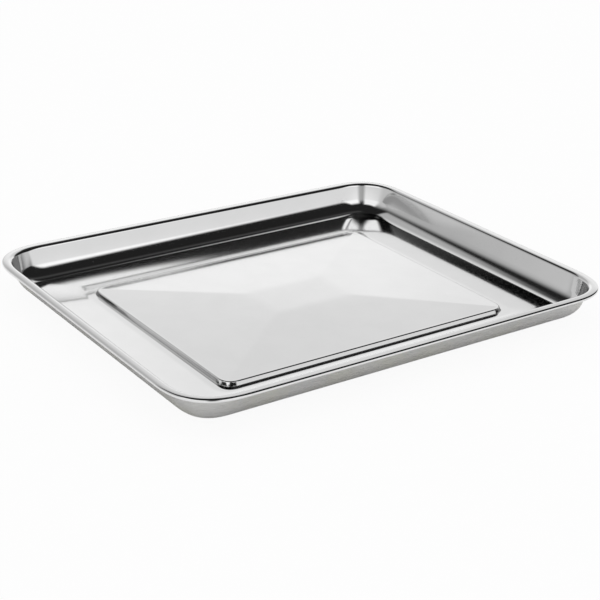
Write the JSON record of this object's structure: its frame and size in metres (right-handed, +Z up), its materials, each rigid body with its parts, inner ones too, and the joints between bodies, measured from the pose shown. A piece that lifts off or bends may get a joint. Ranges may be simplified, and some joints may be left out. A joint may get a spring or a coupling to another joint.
{
  "type": "shallow print tray",
  "caption": "Shallow rectangular tray pressed from polished sheet steel, with a curled wire-filled rim, sloping walls and a raised faceted panel in its floor.",
  "frame": {"origin": "on the resting plane, under the centre of the tray", "axes": "+X along the long side, +Y along the short side, +Z up out of the tray"},
  "size_m": [0.38, 0.305, 0.0265],
  "materials": {
    "polished_steel": "bright polished stainless steel inside, faintly brushed outside",
    "drawn_wire": "plain drawn steel wire, matt grey"
  },
  "bodies": {
    "root": {"tray_pan": "polished_steel", "rim_wire": "drawn_wire"}
  },
  "joints": []
}
